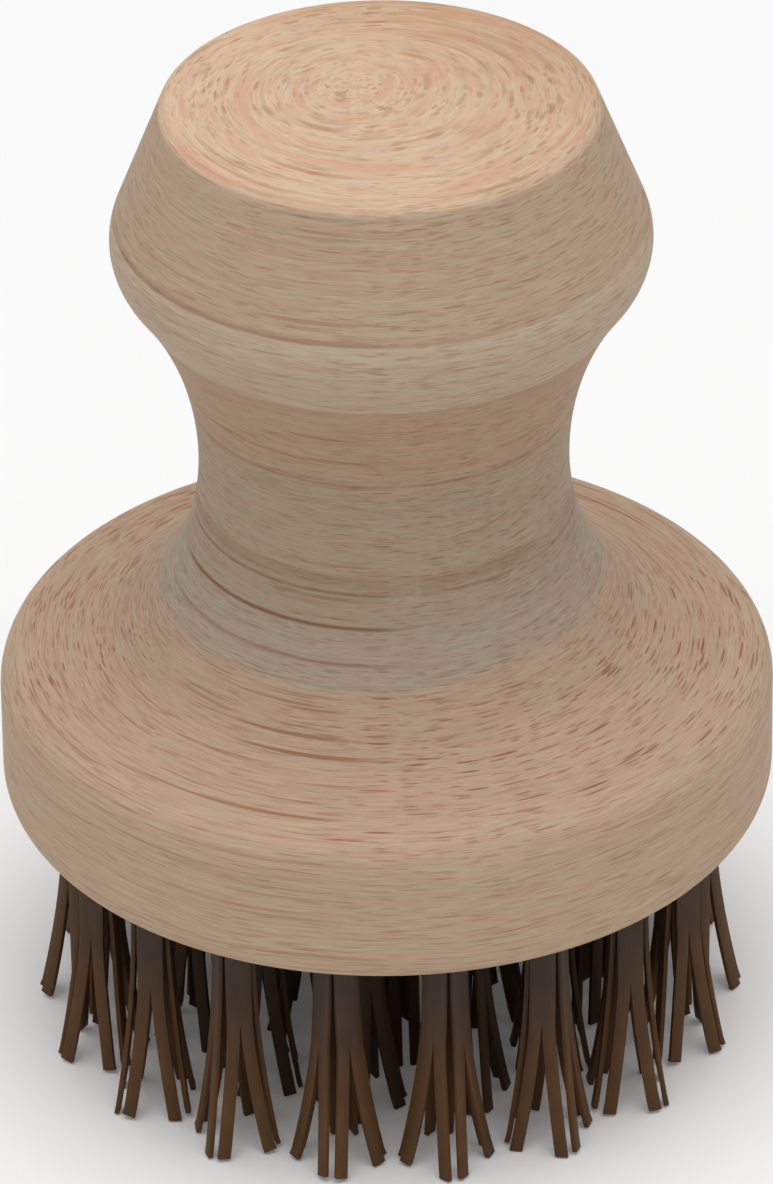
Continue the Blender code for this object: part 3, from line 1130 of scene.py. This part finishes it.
def make_tuft(name, place, draw):
    tuft = add_piece(name, strips_mesh(name, draw))
    tuft.data.materials.append(fibre_face)
    tuft.data.materials.append(fibre_side_and_reflection)
    thicken = tuft.modifiers.new("thickness", "SOLIDIFY")
    thicken.thickness = strip_thickness
    thicken.offset = 0
    thicken.material_offset_rim = 1
    round_off = tuft.modifiers.new("rounded edges", "BEVEL")
    round_off.width = edge_rounding
    round_off.segments = 2
    round_off.limit_method = "ANGLE"
    round_off.angle_limit = sharp_in_fibre

    # The outer tufts make room for their anchors, which are pieces of their own
    if "outer" in name:
        cut_away(tuft, tunnel)
    freeze(tuft)
    join_mesh(tuft, fold)
    tuft.data.transform(place)
    tuft.data.shade_smooth()
    tuft.data.set_sharp_from_angle(angle=sharp_in_fibre)
    return tuft


def join_mesh(piece, mesh):
    """Adds another mesh's faces to a piece, in its first material."""
    bm = bmesh.new()
    bm.from_mesh(piece.data)
    bm.from_mesh(mesh)
    bm.to_mesh(piece.data)
    bm.free()


fold = fold_mesh()
tunnel = copies("tunnel", cube_mesh("tunnel"), [anchor_slot(Matrix.Identity(4))])
print("strips in a tuft:", len(quarter_turns))

# %% All the tufts
for number, (node, place) in enumerate(tuft_places.items()):
    tuft = make_tuft(node.replace("tuft", "bristles"), place, random.Random(number))
    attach(tuft, BODY)
    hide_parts(node)
bpy.data.objects.remove(tunnel)
print("faces of the last tuft:", len(tuft.data.polygons))

# %% [markdown]
# ## Anchor wire
# Each outer tuft is folded over a short piece of flat galvanised wire, driven into the
# wood with it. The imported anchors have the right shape, so they stay, and only their
# finish is made: a dull zinc with the faint lines of the wire-drawer's die.

# %% Galvanised wire
bright_zinc = colour(196, 198, 200)
dull_zinc = colour(160, 163, 167)
zinc_spangles = 1800.0           # in a metre
die_lines = 3000.0               # in a metre
wire_roughness = (0.25, 0.28)    # what it changes by and what it starts from
wire_relief_strength = 0.2
wire_relief_height = 0.00002


def make_wire():
    material, tree, shader = new_material("galvanised wire")
    place = add_node(tree, "ShaderNodeTexCoord").outputs["Object"]
    spangle = add_node(tree, "ShaderNodeTexVoronoi", Vector=place, Scale=zinc_spangles)
    lines = add_node(tree, "ShaderNodeTexNoise", Vector=place, Scale=die_lines,
                     Detail=3.0).outputs["Fac"]
    tone = mix(tree, spangle.outputs["Distance"], bright_zinc, dull_zinc)
    plug_in(tree, shader.inputs["Base Color"], tone)
    shader.inputs["Metallic"].default_value = 1.0
    plug_in(tree, shader.inputs["Roughness"], scaled(tree, lines, *wire_roughness))
    bump = add_node(tree, "ShaderNodeBump", Strength=wire_relief_strength,
                    Distance=wire_relief_height, Height=lines)
    plug_in(tree, shader.inputs["Normal"], bump.outputs["Normal"])
    return material


wire = make_wire()
anchors = [node for name, node in frame["nodes"].items() if name.startswith("anchor_")]
for anchor in anchors:
    anchor.data.materials.clear()
    anchor.data.materials.append(wire)
print("anchors with the wire's finish:", len(anchors))

# %% [markdown]
# ## The finished size
# The box round the finished brush is measured, and its sides are printed in millimetres.

# %% The finished brush's box
finished_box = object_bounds()
finished_sides = finished_box[1] - finished_box[0]
print("finished brush, mm:", [round(MM * side, 1) for side in finished_sides])
